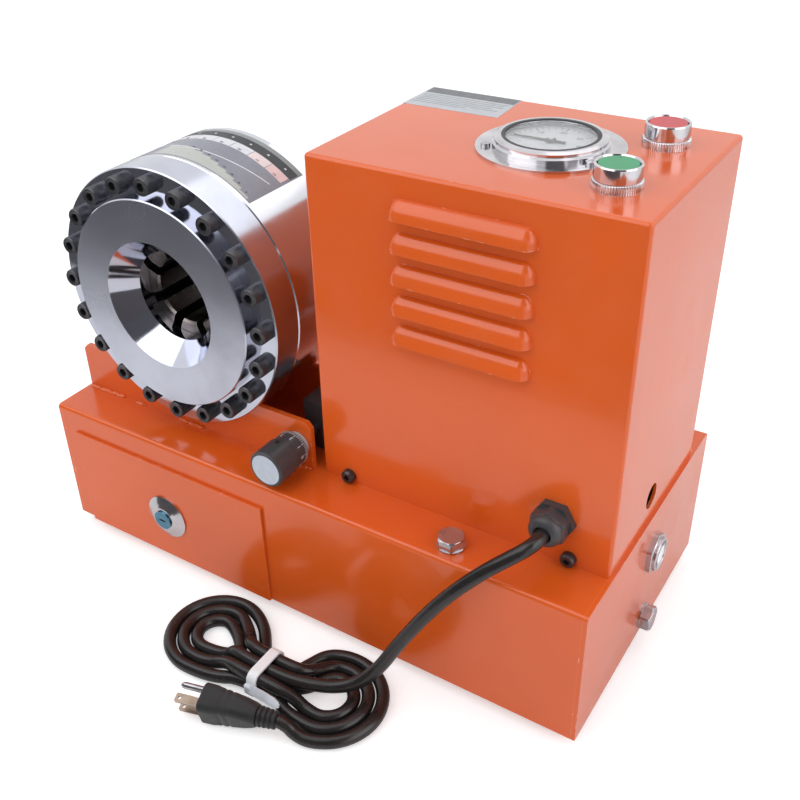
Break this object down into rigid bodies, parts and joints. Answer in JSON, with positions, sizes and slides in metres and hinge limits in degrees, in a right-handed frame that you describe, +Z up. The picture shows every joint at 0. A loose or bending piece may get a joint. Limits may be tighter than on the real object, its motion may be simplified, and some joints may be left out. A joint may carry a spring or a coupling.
{
  "type": "hose crimping machine",
  "caption": "Bench-top electric hydraulic hose crimper: welded oil-tank base with drawer, bolted crimp head with sliding dies, louvered pump housing.",
  "frame": {"origin": "on the bench, under the middle of the base box", "axes": "+X to the operator's right, +Y from the crimp head's face towards the back, +Z up"},
  "size_m": [0.4585, 0.3382, 0.3668],
  "materials": {
    "enamel": "gloss enamel",
    "rubber_black": "satin",
    "zinc_steel": "bright zinc",
    "polished_steel": "polished",
    "black_oxide": "black oxide",
    "black_plastic": "satin",
    "chrome": "bright chrome",
    "clear_glass": "clear",
    "white_dial": "satin",
    "needle_red": "gloss",
    "green_plastic": "gloss",
    "blue_plastic": "gloss",
    "motor_paint": "matt paint",
    "seal": "matt"
  },
  "bodies": {
    "machine": {"base_cover": "enamel", "base_side_left": "enamel", "base_side_right": "enamel", "base_floor": "enamel", "tank_wall": "enamel", "rubber_feet": "rubber_black", "foot_screws": "zinc_steel", "drawer_runners": "enamel", "saddle_front": "enamel", "saddle_rear": "enamel", "front_cap": "polished_steel", "barrel": "polished_steel", "cap_screws": "black_oxide", "housing_shell": "enamel", "housing_lugs": "enamel", "housing_screws": "black_oxide", "gland_body": "black_plastic", "gland_nut": "black_plastic", "gauge_case": "chrome", "gauge_bezel": "chrome", "gauge_glass": "clear_glass", "gauge_dial": "white_dial", "gauge_screws": "zinc_steel", "button_collars": "chrome", "contact_blocks": "black_plastic", "dial_bushing": "black_plastic", "limit_switch": "black_plastic", "sight_glass_body": "chrome", "sight_glass_window": "clear_glass", "tank_plugs": "zinc_steel", "motor_body": "motor_paint", "pump": "motor_paint", "valve_block": "zinc_steel", "oil_lines": "zinc_steel", "power_cord": "rubber_black", "cord_hank": "rubber_black", "cable_tie": "white_dial", "plug_body": "rubber_black", "plug_pins": "chrome"},
    "drawer": {"drawer_tray": "enamel", "drawer_front": "enamel", "lock_bezel": "chrome"},
    "lock": {"lock_core": "blue_plastic", "lock_cam": "zinc_steel"},
    "piston": {"piston": "polished_steel", "piston_seal": "seal"},
    "die_1": {"die_1": "black_oxide"},
    "die_2": {"die_2": "black_oxide"},
    "die_3": {"die_3": "black_oxide"},
    "die_4": {"die_4": "black_oxide"},
    "die_5": {"die_5": "black_oxide"},
    "die_6": {"die_6": "black_oxide"},
    "die_7": {"die_7": "black_oxide"},
    "die_8": {"die_8": "black_oxide"},
    "dial": {"dial_knob": "black_plastic", "dial_face": "white_dial"},
    "start": {"start_button": "green_plastic"},
    "stop": {"stop_button": "needle_red"},
    "needle": {"gauge_needle": "needle_red"},
    "rotor": {"motor_rotor": "motor_paint"}
  },
  "joints": [
    {"name": "drawer_slide", "type": "slide", "parent": "machine", "child": "drawer", "axis": [0, -1, 0], "range_m": [0, 0.15]},
    {"name": "lock_turn", "type": "hinge", "parent": "drawer", "child": "lock", "pos_m": [-0.1175, -0.111, 0.051], "axis": [0, -1, 0], "range_deg": [0, 90]},
    {"name": "piston_slide", "type": "slide", "parent": "machine", "child": "piston", "axis": [0, -1, 0], "range_m": [0, 0.026]},
    {"name": "die_1_slide", "type": "slide", "parent": "machine", "child": "die_1", "axis": [-1, 0, 0], "range_m": [0, 0.0095]},
    {"name": "die_2_slide", "type": "slide", "parent": "machine", "child": "die_2", "axis": [-0.7071, 0, -0.7071], "range_m": [0, 0.0095]},
    {"name": "die_3_slide", "type": "slide", "parent": "machine", "child": "die_3", "axis": [0, 0, -1], "range_m": [0, 0.0095]},
    {"name": "die_4_slide", "type": "slide", "parent": "machine", "child": "die_4", "axis": [0.7071, 0, -0.7071], "range_m": [0, 0.0095]},
    {"name": "die_5_slide", "type": "slide", "parent": "machine", "child": "die_5", "axis": [1, 0, 0], "range_m": [0, 0.0095]},
    {"name": "die_6_slide", "type": "slide", "parent": "machine", "child": "die_6", "axis": [0.7071, 0, 0.7071], "range_m": [0, 0.0095]},
    {"name": "die_7_slide", "type": "slide", "parent": "machine", "child": "die_7", "axis": [0, 0, 1], "range_m": [0, 0.0095]},
    {"name": "die_8_slide", "type": "slide", "parent": "machine", "child": "die_8", "axis": [-0.7071, 0, 0.7071], "range_m": [0, 0.0095]},
    {"name": "dial_turn", "type": "hinge", "parent": "machine", "child": "dial", "pos_m": [-0.0117, -0.081, 0.1367], "axis": [0, -1, 0], "range_deg": [-900, 900]},
    {"name": "start_press", "type": "slide", "parent": "machine", "child": "start", "axis": [0, 0, -1], "range_m": [0, 0.003], "stiffness_N_per_m": 400},
    {"name": "stop_press", "type": "slide", "parent": "machine", "child": "stop", "axis": [0, 0, -1], "range_m": [0, 0.003], "stiffness_N_per_m": 400},
    {"name": "needle_turn", "type": "hinge", "parent": "machine", "child": "needle", "pos_m": [0.1321, 0.0041, 0.3528], "axis": [0, 0, -1], "range_deg": [0, 270], "stiffness_Nm_per_rad": 0.0004},
    {"name": "motor_spin", "type": "hinge", "parent": "machine", "child": "rotor", "pos_m": [0.1197, 0.0037, 0.118], "axis": [0, 0, 1], "continuous": true}
  ],
  "couplings": [
    {"joint": "die_1_slide", "follows": "piston_slide", "ratio": 0.36397},
    {"joint": "die_2_slide", "follows": "piston_slide", "ratio": 0.36397},
    {"joint": "die_3_slide", "follows": "piston_slide", "ratio": 0.36397},
    {"joint": "die_4_slide", "follows": "piston_slide", "ratio": 0.36397},
    {"joint": "die_5_slide", "follows": "piston_slide", "ratio": 0.36397},
    {"joint": "die_6_slide", "follows": "piston_slide", "ratio": 0.36397},
    {"joint": "die_7_slide", "follows": "piston_slide", "ratio": 0.36397},
    {"joint": "die_8_slide", "follows": "piston_slide", "ratio": 0.36397}
  ]
}
